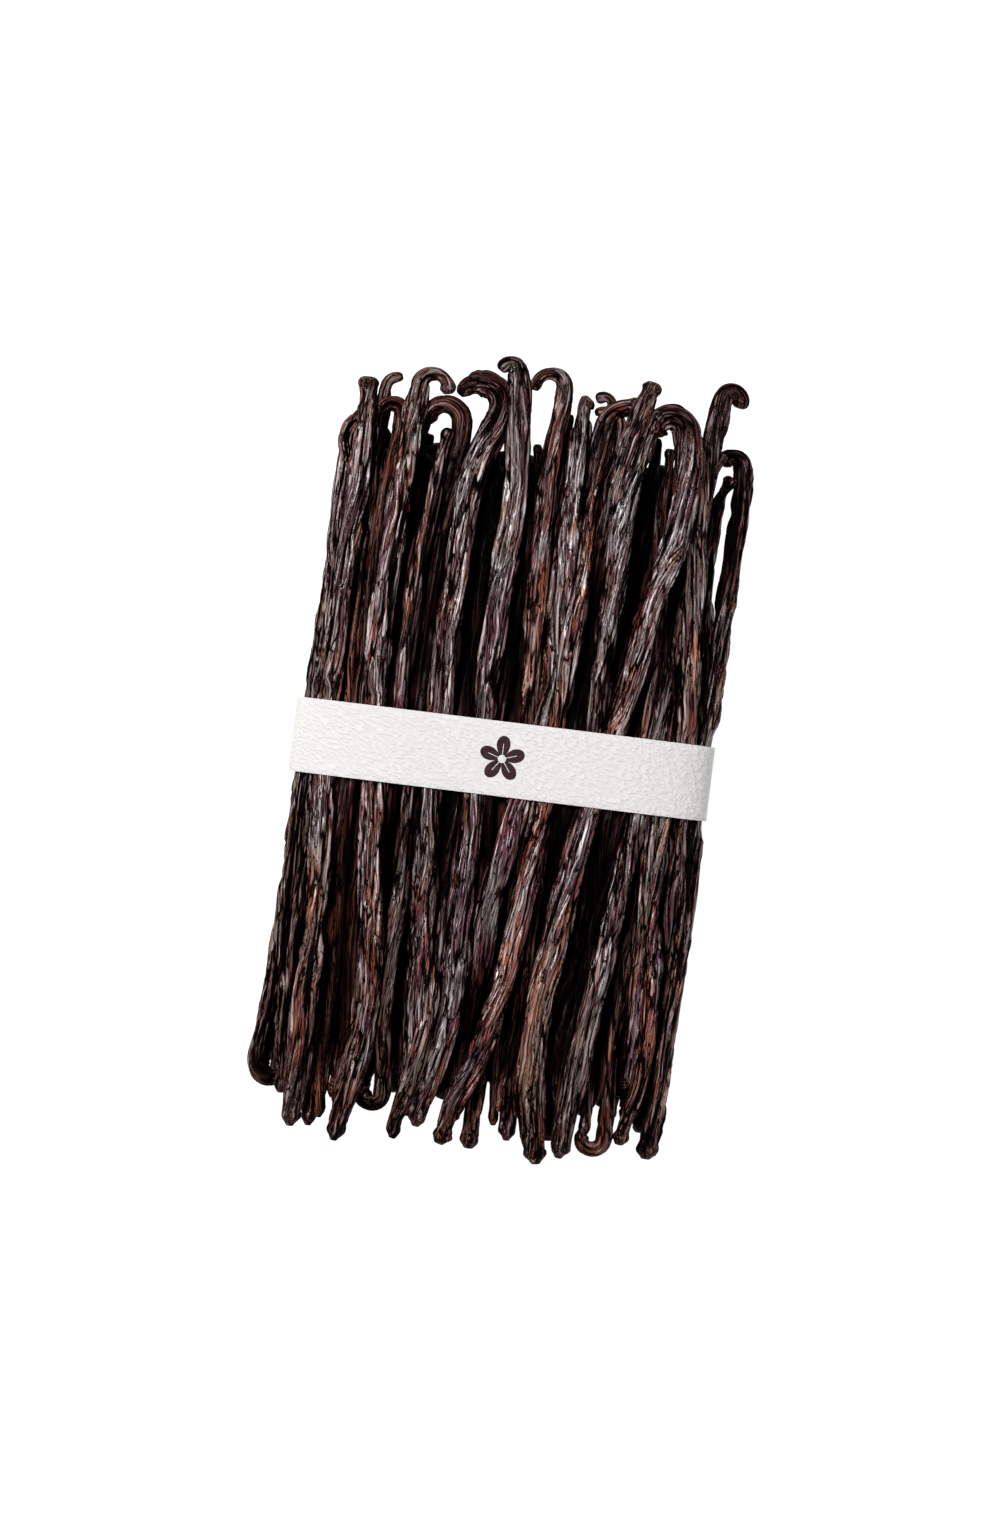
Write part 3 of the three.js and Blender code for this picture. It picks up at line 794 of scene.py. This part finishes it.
def addPaintedShade(piece):
    # painted shade, stored as shown: 1 on the bundle's outside and 0 where a pod lies under the others or
    # turns its side to them
    points = pointsOf(piece.data) / mm
    normals = np.empty(len(points) * 3)
    piece.data.vertex_normals.foreach_get("vector", normals)
    normals = normals.reshape(-1, 3)
    power = bundle["squareness"]
    deep = bundle["halfDeep"] - bundle["waistDip"] * np.exp(-((points[:, 1] / bundle["waistReach"]) ** 2))
    across = points[:, 0] / bundle["halfWide"]
    up = (points[:, 2] - bundle["halfDeep"]) / deep
    reach = (np.abs(across) ** power + np.abs(up) ** power) ** (1 / power)
    shown = np.clip((reach - paintedShade["dark"]) / (paintedShade["clear"] - paintedShade["dark"]), 0, 1)
    outX = np.sign(across) * np.abs(across) ** (power - 1) / bundle["halfWide"]
    outZ = np.sign(up) * np.abs(up) ** (power - 1) / bundle["halfDeep"]
    # faces that turn from the bundle's outside towards the other pods get painted shade
    facing = (normals[:, 0] * outX + normals[:, 2] * outZ) / np.maximum(np.hypot(outX, outZ), 1e-9)
    facing = eased((facing - paintedShade["aside"]) / (paintedShade["out"] - paintedShade["aside"]))
    away = np.clip((np.abs(points[:, 1]) - paintedShade["endsFrom"]) / paintedShade["endsFade"], 0, 1)
    shown = np.maximum(shown, away) * (1 - away * (1 - paintedShade["endShade"]))
    endOn = away * np.maximum(paintedShade["endLeast"], np.abs(normals[:, 1]))
    layer = piece.data.attributes.new("shown", "FLOAT", "POINT")
    layer.data.foreach_set("value", shown * (facing + (1 - facing) * endOn))


def joinPods(name, pods, masters, group, firstSeed):
    # one piece for a group of pods, each with its own seed
    pieces = []
    for i, pod in enumerate(pods):
        piece = layPod(pod, masters, group, firstSeed + i)
        layOutMap(piece, i, len(pods))
        addSkinTone(piece, pod["skin"])
        pieces.append(piece)
    deselectAll()
    for piece in pieces:
        piece.select_set(True)
    bpy.context.view_layer.objects.active = pieces[0]
    if len(pieces) > 1:
        bpy.ops.object.join()
    joined = bpy.context.object
    joined.name = name
    joined.data.name = name
    setPoints(joined.data, press(pointsOf(joined.data)))
    addStains(joined)
    addPaintedShade(joined)
    joined.data.transform(Matrix.Translation(tableOrigin))
    bpy.ops.object.shade_smooth()
    print(name, "has", len(joined.data.polygons), "faces")
    return joined


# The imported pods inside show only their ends, between the outer ones
innerPods = {
    "columns": 12,
    "rows": 4,
    "pitch": 6.2,
    "layer": 4.3,
    "lowest": 8.6,
    "from": 46,
    "station": 58,
    "wide": 4.4,
    "wideSpread": 1.2,
    "drift": 1.6,
    "spread": 5,
    "tipDrift": 2.4,
    "tipRise": 1.2,
    "hook": 2.2,
    "hookSpread": 1.2,
    "leastTurn": 50,
    "reach": {1: 60.5, -1: 67},  # at the heads' end, and at the tails' end
    "hookTurn": {1: 300, -1: 120},
    "gapFrom": 31,  # past this x the heads leave the same gap open
    "gapReach": 50,
}


def innerEnds(end):
    pods = []
    inner = innerPods
    for row in range(inner["rows"]):
        for column in range(inner["columns"]):
            seed = 300 + column * 11 + row * 37 + end * 5
            drift = [scatter(seed + k) - 0.5 for k in range(8)]
            shift = column - (inner["columns"] - 1) / 2 + 0.5 * (row % 2) - 0.25
            x = shift * inner["pitch"] + inner["drift"] * drift[0]
            z = inner["lowest"] + row * inner["layer"] + drift[1]
            reach = inner["reach"][end] + inner["spread"] * drift[2]
            turn = inner["hookTurn"][end] * drift[3]
            if end > 0 and x > inner["gapFrom"]:
                reach, turn = inner["gapReach"], 0
            turn = 0 if abs(turn) < inner["leastTurn"] else turn
            route = [(x, end * inner["from"], z)]
            if reach > inner["station"]:
                route.append((x + drift[4], end * inner["station"], z))
            radius = inner["hook"] + inner["hookSpread"] * scatter(seed + 9)
            tip = (x + inner["tipDrift"] * drift[5], end * reach, radius, turn)
            bend = endPoints(route[-1], tip, z + inner["tipRise"] * drift[6])
            pods.append({"kind": "inner", "route": (route + bend)[::-1], "head": tip, "tail": tip,
                         "wide": inner["wide"] + inner["wideSpread"] * drift[7], "skin": anySkin(seed)})
    return pods


# Materials
def attributeWire(kit, name, output="Fac"):
    return kit.wire("ShaderNodeAttribute", {"attribute_name": name}, output=output)


def newMaterial(name):
    material = bpy.data.materials.new(name)
    material.use_nodes = True
    tree = material.node_tree
    shader = tree.nodes["Principled BSDF"]
    return material, NodeKit(tree), shader


podColours = {
    # the near-black of painted shade, in the creases, between the pods and on the core
    "shadeBlack": (0.0014, 0.0005, 0.0004, 1),
    "umber": (0.06, 0.015, 0.01, 1),
    "mauve": (0.185, 0.088, 0.078, 1),
    "ash": (0.4, 0.315, 0.31, 1),
    "russet": (0.28, 0.045, 0.016, 1),
    "orange": (0.62, 0.17, 0.045, 1),
    "plum": (0.18, 0.042, 0.088, 1),
    "moss": (0.17, 0.148, 0.08, 1),
    "slate": (0.16, 0.145, 0.14, 1),
    "bloomAndSheen": (0.68, 0.61, 0.61, 1),
}


# Patterns of the skin: a shift that keeps it apart from the others, scale along and across, detail, roughness
skinPatterns = {
    "zones": ((0.0, 0.0, 0.0), (0.04, 0.2, 0.2), 2.0, 0.5),
    "patches": ((53.0, 29.0, 3.0), (0.06, 0.26, 0.26), 2.0, 0.5),
    "regions": ((7.0, 61.0, 17.0), (0.05, 0.16, 0.16), 1.0, 0.5),
    "streaks": ((0.0, 0.0, 0.0), (0.03, 0.95, 0.95), 2.0, 0.5),
    "cords": ((19.0, 7.0, 31.0), (0.05, 1.3, 1.3), 1.0, 0.5),
    "mottle": ((0.0, 0.0, 0.0), (0.4, 1.5, 1.5), 3.0, 0.6),
}
# Fine lines of the skin: scale along and across, detail, and how wide a line opens
fineLines = {
    "thread": ((0.06, 2.5, 2.5), 1.0, 0.05),
    "herring": ((0.8, 0.6, 0.6), 2.0, 0.04),
}


def skinPattern(kit, space, name):
    shift, scale, detail, roughness = skinPatterns[name]
    if any(shift):
        space = kit.vectors("ADD", space, shift)
    return kit.noise(space, scale, detail, roughness)


def fineLine(kit, space, name):
    scale, detail, wide = fineLines[name]
    return kit.ramp(abs(kit.noise(space, scale, detail) - 0.5), 0.0, wide)


def raisedSkin(kit, space, lit):
    # the colours of the skin between the folds, each laid over the ones before it
    warm, moss, pale = kit.split(attributeWire(kit, "skinTone", "Color"))
    plum = attributeWire(kit, "skinTone", "Alpha")
    zones, patches, regions, streaks, cords, mottle = [skinPattern(kit, space, name) for name in skinPatterns]
    tint = (cords - 0.5) * 0.5  # each thread of the skin has a tint of its own
    # tops of the crease ridges, where the painted sheen goes
    top = skinFold(kit, space, "crease", 0.4, 1.2)
    layers = (
        ("ash", kit.ramp(streaks + tint, 0.36, 0.6) * pale * 0.8),
        ("plum", kit.ramp(zones + tint * 0.6, 0.54, 0.38) * (plum * 0.7 + 0.3)),
        ("slate", kit.ramp(patches + tint * 0.6, 0.48, 0.62) * (1 - warm * 0.6) * 0.8),
        ("russet", kit.ramp(streaks * 0.5 - patches * 0.6 + warm * 0.2, 0.01, 0.14) * 0.9),
        ("orange", kit.ramp(zones * 0.5 + streaks * 0.5 + warm * 0.1, 0.56, 0.66) * (warm * 0.8 + 0.2) * 0.7),
        ("moss", kit.ramp(regions + tint * 0.4 + moss * 0.14, 0.54, 0.68) * (moss * 0.7 + 0.2) * 0.85),
        # pale waxy bloom together with a painted sheen on the tops of the crease ridges
        ("bloomAndSheen", top * kit.ramp(streaks + tint * 0.6, 0.4, 0.62) * (pale * 0.72 + 0.2)),
        ("orange", attributeWire(kit, "orangeStain") * kit.ramp(streaks + lit * 0.3, 0.45, 0.8)),
        ("moss", attributeWire(kit, "mossStain") * kit.ramp(mottle + lit * 0.3, 0.5, 0.85) * 0.7),
    )
    skin = kit.mix(kit.ramp(zones + tint, 0.36, 0.56), podColours["umber"], podColours["mauve"])
    for name, share in layers:
        skin = kit.mix(share, skin, podColours[name])
    return skin, mottle


def curedPodSkin():
    material, kit, shader = newMaterial("curedPodSkin")
    space = attributeWire(kit, "podSpace", "Vector")
    # painted shade from how deep a pod lies in the bundle and how far a face turns from its outside
    shown = attributeWire(kit, "shown")
    pale = kit.split(attributeWire(kit, "skinTone", "Color"))[2]
    # painted shade: the lines of the folds are thin and dark, as shade falls in the creases, and the skin
    # between them is high
    furrow = skinFold(kit, space, "furrow", 0.0, 0.5)
    ridge = skinFold(kit, space, "ridge", 0.0, 0.5)
    crease = skinFold(kit, space, "crease", 0.0, 0.4)
    thread, herring = [fineLine(kit, space, name) for name in fineLines]
    fine = (crease * 0.8 + 0.2) * (thread * 0.55 + 0.45) * (herring * 0.14 + 0.86)
    high = ((furrow * 0.7 + 0.3) * (ridge * 0.68 + 0.32) * fine) ** (1 - pale * 0.16)
    # lit is painted light and shade: low in the creases and where the bundle's painted shade falls
    lit = kit.ramp(high, 0.12, 0.86) * (shown * 0.96 + 0.04)
    # painted shade: the colour of creases and shaded pods runs from near-black to umber
    shade = kit.mix(kit.ramp(lit, 0.1, 0.6), podColours["shadeBlack"], podColours["umber"])
    skin, mottle = raisedSkin(kit, space, lit)
    base = kit.mix(kit.ramp(lit, 0.3, 0.84), shade, skin)
    roughness = 0.5 - lit * 0.12 + (mottle - 0.5) * 0.3
    height = skinFold(kit, space, "crease") * 0.9 + thread * 0.35 + herring * 0.12 + mottle * 0.12
    kit.feed(shader, {"Base Color": base, "Roughness": roughness, "Coat Weight": lit * lit * 0.9,
                      "Coat Roughness": 0.27, "Specular IOR Level": 0.02,
                      "Normal": kit.bump(height, 1.0, 0.0005)})
    return material


paperLook = {
    "paper": (0.82, 0.8, 0.78, 1),
    "shadedHollow": (0.775, 0.755, 0.735, 1),
    "print": (0.033, 0.0105, 0.012, 1),
    "feltScale": (0.8, 1.7, 1.2),
    "feltTurn": 0.35,
    "toothScale": (3.2, 3.8, 3.2),
    "petals": 5,
    "petal": 4.9,  # the blossom's radius
    "petalWaist": 0.28,  # share of it between two petals
    "petalFullness": 0.7,
    "heart": 0.85,
    "veinWide": (0.12, 0.2),
    "veinLong": (0.62, 0.68),  # shares of the radius where a vein fades
    "edge": 0.05,
}


def printedBlossom(kit, place):
    # the share of ink, at a place in millimetres from the middle of the shown side
    look = paperLook
    x, y, z = kit.split(place)
    distance = (x * x + y * y) ** 0.5
    angle = kit.maths("ARCTAN2", x, y) * (look["petals"] / 2)
    petals = abs(kit.maths("COSINE", angle)) ** look["petalFullness"]
    edge = look["petal"] * (look["petalWaist"] + petals * (1 - look["petalWaist"]))
    flower = kit.ramp(edge - distance, -look["edge"], look["edge"])
    heart = kit.ramp(distance, look["heart"] - look["edge"], look["heart"] + look["edge"])
    vein = 1 - kit.ramp(abs(kit.maths("SINE", angle)) * distance, *look["veinWide"])
    veinEnd = kit.ramp(distance, *[look["petal"] * share for share in look["veinLong"]])
    onTop = kit.ramp(z, bundle["halfDeep"], bundle["halfDeep"] + 1)
    return flower * heart * (1 - vein * (1 - veinEnd)) * onTop


def feltedPaper():
    # off-white felt-marked paper, with a small printed blossom in the middle of the shown side
    material, kit, shader = newMaterial("feltedPaper")
    look = paperLook
    coords = kit.node("ShaderNodeTexCoord")
    place = kit.vectors("SUBTRACT", Wire(kit, coords.outputs["Object"]), tuple(tableOrigin))
    place = kit.scaled(place, 1 / mm)
    leaning = kit.turned(place, "Z_AXIS", look["feltTurn"])
    felt = kit.ramp(kit.noise(leaning, look["feltScale"], 2.0, 0.5), 0.36, 0.64)
    tooth = kit.noise(place, look["toothScale"], 3.0, 0.6)
    printed = printedBlossom(kit, place)
    # the felt's low places are a little darker: grain of the paper, and painted shade in its hollows
    colour = kit.mix(kit.ramp(felt * 0.6 + tooth * 0.4, 0.1, 0.7), look["shadedHollow"], look["paper"])
    colour = kit.mix(printed, colour, look["print"])
    kit.feed(shader, {"Base Color": colour, "Roughness": 0.82 + tooth * 0.15 - printed * 0.2,
                      "Specular IOR Level": 0.3,
                      "Normal": kit.bump(felt + tooth * 0.25, 0.9, 0.00016)})
    return material


# Paper band
bandShape = {
    "wide": 15.8,
    "thick": 0.4,
    "gap": 0.3,  # between the paper and the pods
    "overlap": 14,
    "around": 260,
    "across": 10,
    "softEdge": 0.09,
}


def onSection(points, halfWide, halfDeep):
    # a round tube's points pushed out to the bundle's flattened section
    angle = np.arctan2(points[:, 2], points[:, 0])
    power = 2 / bundle["squareness"]
    points[:, 0] = halfWide * np.sign(np.cos(angle)) * np.abs(np.cos(angle)) ** power
    points[:, 2] = halfDeep * np.sign(np.sin(angle)) * np.abs(np.sin(angle)) ** power
    return points


def openTube(sides, radius, wide, cuts):
    deselectAll()
    bpy.ops.mesh.primitive_cylinder_add(vertices=sides, radius=radius, depth=wide, end_fill_type="NOTHING",
                                        rotation=(math.pi / 2, 0, 0))
    tube = bpy.context.object
    bpy.ops.object.transform_apply(location=True, rotation=True, scale=True)
    setMode("EDIT")
    selectOnly(tube, "edges", lambda edge: abs(edge.verts[0].co.y - edge.verts[1].co.y) > wide / 2)
    bpy.ops.mesh.subdivide(number_cuts=cuts)
    setMode("OBJECT")
    return tube


def paperBand(material):
    shape = bandShape
    halfWide = (bundle["halfWide"] + shape["gap"]) * mm
    halfDeep = (bundle["halfDeep"] - bundle["waistDip"] + shape["gap"]) * mm
    band = openTube(shape["around"], halfDeep, shape["wide"] * mm, shape["across"])
    band.name = "paperBand"
    setPoints(band.data, onSection(pointsOf(band.data), halfWide, halfDeep))
    lap = band.copy()  # the strip's glued end, one layer further out on the underside
    lap.data = band.data.copy()
    lap.name = "bandLap"
    bpy.context.collection.objects.link(lap)
    for strip in (band, lap):
        pick(strip)
        finishWith(strip, "SOLIDIFY", thickness=shape["thick"] * mm, offset=1)
        if strip is lap:
            setMode("EDIT")
            half = shape["overlap"] / 2 * mm
            for side in (1, -1):
                selectMesh()
                bpy.ops.mesh.bisect(plane_co=(side * half, 0, 0), plane_no=(side, 0, 0), clear_outer=True,
                                    use_fill=True)
            selectMesh()
            bpy.ops.mesh.bisect(plane_co=(0, 0, 0), plane_no=(0, 0, 1), clear_outer=True)
            selectMesh()
            bpy.ops.transform.translate(value=(0, 0, -shape["thick"] * mm))
            setMode("OBJECT")
        finishWith(strip, "BEVEL", width=shape["softEdge"] * mm, segments=2, limit_method="ANGLE",
                   angle_limit=math.radians(50))
        strip.data.transform(Matrix.Translation(tableOrigin + Vector((0, 0, bundle["halfDeep"] * mm))))
        strip.data.materials.append(material)
        bpy.ops.object.shade_smooth_by_angle(angle=math.radians(35))
    return band, lap


# Core
core = {
    "inset": 4.2,
    "halfLong": 54,
    "sides": 120,
    "cuts": 24,
    "ribs": 15,
    "ribDepth": 0.9,
    "ribWander": 0.4,
    "ribTurn": 0.06,  # radians of that wander for each mm along
}


def packedCore(material):
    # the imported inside, ribbed like the pods it stands for
    tube = openTube(core["sides"], bundle["halfDeep"] * mm, 2 * core["halfLong"] * mm, core["cuts"])
    tube.name = "packedCore"
    setMode("EDIT")
    selectMesh("DESELECT")
    bpy.ops.mesh.select_non_manifold()
    bpy.ops.mesh.fill_holes(sides=0)
    selectOnly(tube, "faces", lambda face: len(face.verts) > 4)
    bpy.ops.mesh.poke()
    setMode("OBJECT")
    points = pointsOf(tube.data)
    inside = np.hypot(points[:, 0], points[:, 2]) < mm
    shaped = onSection(points.copy(), (bundle["halfWide"] - core["inset"]) * mm,
                       (bundle["halfDeep"] - bundle["waistDip"] - core["inset"]) * mm)
    wander = core["ribWander"] * np.sin(points[:, 1] / mm * core["ribTurn"])
    ribs = np.abs(np.sin(shaped[:, 0] / mm / bundle["halfWide"] * core["ribs"] + wander))
    shaped[:, 2] *= 1 - core["ribDepth"] / bundle["halfDeep"] * ribs
    shaped[:, 2] += bundle["halfDeep"] * mm
    shaped[inside, 0] = 0
    shaped[inside, 2] = bundle["halfDeep"] * mm
    setPoints(tube.data, shaped)
    pick(tube)
    setMode("EDIT")
    selectMesh()
    bpy.ops.mesh.normals_make_consistent(inside=False)
    setMode("OBJECT")
    tube.data.transform(Matrix.Translation(tableOrigin))
    tube.data.materials.append(material)
    bpy.ops.object.shade_smooth()
    return tube


def shadedCoreSkin():
    # painted shade: the inside is coloured near-black to umber because it lies in the bundle's shade
    material, kit, shader = newMaterial("shadedCoreSkin")
    coords = kit.node("ShaderNodeTexCoord")
    place = Wire(kit, coords.outputs["Object"])
    streaks = kit.noise(place, (900, 70, 900), 3.0, 0.6)
    colour = kit.mix(kit.ramp(streaks, 0.45, 0.7), podColours["shadeBlack"], podColours["umber"])
    kit.feed(shader, {"Base Color": colour, "Roughness": 0.55 + streaks * 0.3, "Specular IOR Level": 0.06,
                      "Normal": kit.bump(streaks, 0.8, 0.0005)})
    return material


# Studio
studio = {
    "tilt": 7,  # degrees that the picture is turned against the bundle
    "frameTall": 318.6,  # millimetres of the pods' top plane that the picture's height takes in
    "lens": 100,
    "sensor": 36,
    "aim": (-0.41, 0.05),
    "key": {"place": (-0.75, 0.45, 1.52), "size": 0.45, "power": 33},
    "fill": {"place": (1.3, -0.2, 1.1), "size": 0.8, "power": 7},
    "floorSize": 40,
    "floorDrop": 0.1,  # millimetres under the bundle
    "floorColour": (0.2, 0.2, 0.2, 1),
    "floorGlow": 1.0,  # a lit table, so that the shadows on it stay faint
    "horizon": (0.16, 0.16, 0.163, 1),
    "zenith": (0.012, 0.012, 0.013, 1),
}


def addLight(name, place, size, power):
    light = bpy.data.lights.new(name, "AREA")
    light.size = size
    light.energy = power
    lamp = bpy.data.objects.new(name, light)
    lamp.location = place
    lamp.rotation_euler = Vector(place).to_track_quat("Z", "Y").to_euler()
    lamp.visible_camera = False
    bpy.context.collection.objects.link(lamp)


def addCamera():
    tilt = math.radians(studio["tilt"])
    top = (2 * bundle["halfDeep"] - bundle["floorSink"]) * mm
    far = studio["frameTall"] * mm * studio["lens"] / studio["sensor"]
    camera = bpy.data.cameras.new("camera")
    camera.lens = studio["lens"]
    camera.sensor_width = studio["sensor"]
    camera.clip_start = 0.01
    eye = bpy.data.objects.new("camera", camera)
    aim = [c * mm for c in studio["aim"]]
    eye.location = (tableOrigin.x + aim[0], tableOrigin.y + aim[1], top + far)
    eye.rotation_euler = (0, 0, tilt)
    bpy.context.collection.objects.link(eye)
    bpy.context.scene.camera = eye


def addStudio():
    deselectAll()
    bpy.ops.mesh.primitive_plane_add(size=studio["floorSize"], location=(0, 0, -studio["floorDrop"] * mm))
    floor = bpy.context.object
    floor.name = "studioFloor"
    material, kit, shader = newMaterial("studioFloor")
    kit.feed(shader, {"Base Color": studio["floorColour"], "Roughness": 0.9,
                      "Emission Color": (1, 1, 1, 1), "Emission Strength": studio["floorGlow"]})
    floor.data.materials.append(material)
    for name in ("key", "fill"):
        addLight(name, **studio[name])
    world = bpy.data.worlds.new("studioWorld")
    world.use_nodes = True
    bpy.context.scene.world = world
    kit = NodeKit(world.node_tree)
    coords = kit.node("ShaderNodeTexCoord")
    height = kit.split(Wire(kit, coords.outputs["Generated"]))[2]
    sky = kit.mix(kit.ramp(height, 0.02, 0.5), studio["horizon"], studio["zenith"])
    background = world.node_tree.nodes["Background"]
    world.node_tree.links.new(sky.socket, background.inputs["Color"])
    bpy.context.scene.view_settings.view_transform = "Standard"


def buildBundle():
    masters = {kind: straightPod(kind + "Master", **mesh) for kind, mesh in podMeshes.items()}
    print("straight pods modelled")
    group = wrinkleGroup()
    upper = upperPods()
    groups = {
        "podsLeft": upper[0:5],
        "podsMiddle": upper[5:10],
        "podsRight": upper[10:15],
        "podsBetweenLeft": upper[15:23],
        "podsBetweenRight": upper[23:31],
        "podsUnder": underPods(),
        "podsFlank": flankPods(),
        "podsInnerHeads": innerEnds(1),
        "podsInnerTails": innerEnds(-1),
    }
    skin = curedPodSkin()
    for k, (name, pods) in enumerate(groups.items()):
        piece = joinPods(name, pods, masters, group, 60 * k + 1)
        piece.data.materials.append(skin)
        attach(piece, "root")
        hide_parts("pods")
    for master in masters.values():
        bpy.data.objects.remove(master)


addCamera()
addStudio()
print("studio ready")
buildBundle()
print("pods laid")
inside = packedCore(shadedCoreSkin())
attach(inside, "root")
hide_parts("pods")
for strip in paperBand(feltedPaper()):
    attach(strip, "root")
    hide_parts("band")
print("band wrapped")
